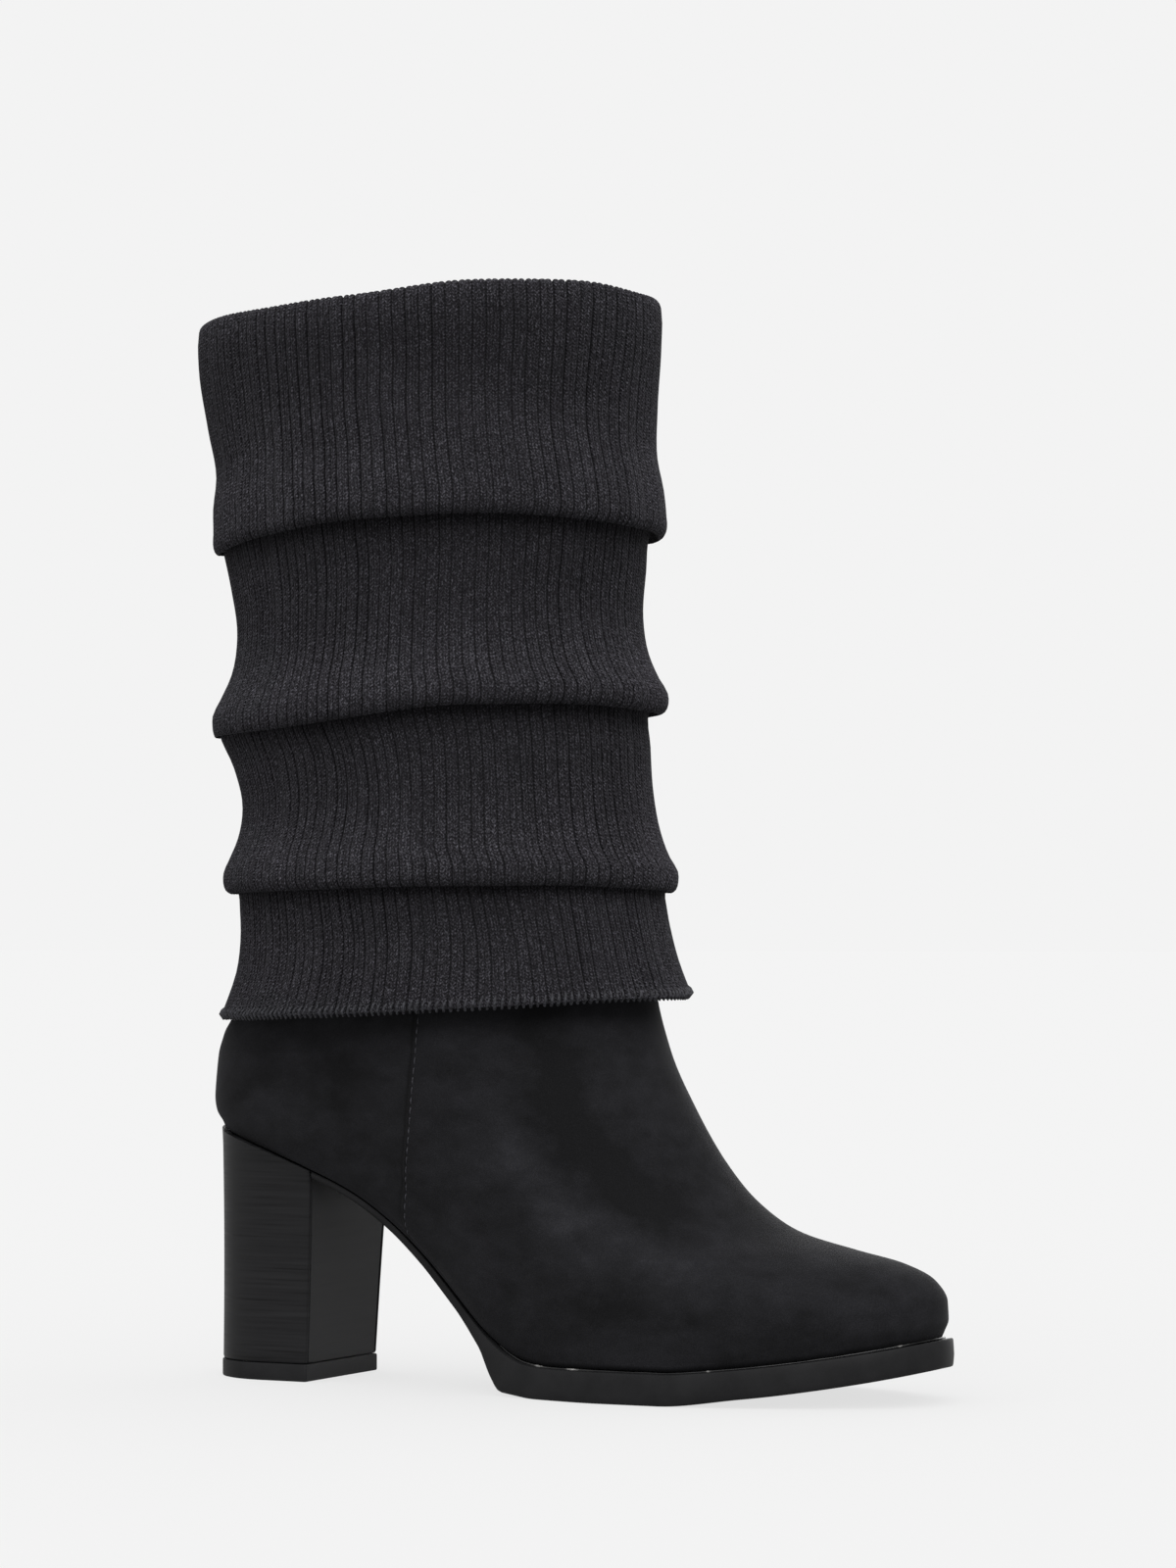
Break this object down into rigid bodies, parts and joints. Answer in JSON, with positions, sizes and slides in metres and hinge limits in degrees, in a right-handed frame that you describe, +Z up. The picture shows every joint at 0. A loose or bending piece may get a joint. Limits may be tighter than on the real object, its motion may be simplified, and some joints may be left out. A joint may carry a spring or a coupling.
{
  "type": "sock boot",
  "caption": "Right-foot sock boot: suede foot on a block heel, with a slouched rib-knit shaft that folds down in soft tiers.",
  "frame": {"origin": "middle of the heel tip's floor face", "axes": "+X towards the toe, +Z up, +Y towards the inner side of the foot"},
  "size_m": [0.2448, 0.1062, 0.33],
  "materials": {
    "suede": "napped matte",
    "rib_knit": "rib knit, matte",
    "sole_rubber": "moulded, matte",
    "stacked_heel": "satin lacquer over a stacked grain",
    "footbed": "smooth matte"
  },
  "bodies": {
    "root": {"upper": "suede", "shaft": "rib_knit", "outsole": "sole_rubber", "heel": "stacked_heel", "heel_tip": "sole_rubber", "insole": "footbed"}
  },
  "joints": []
}
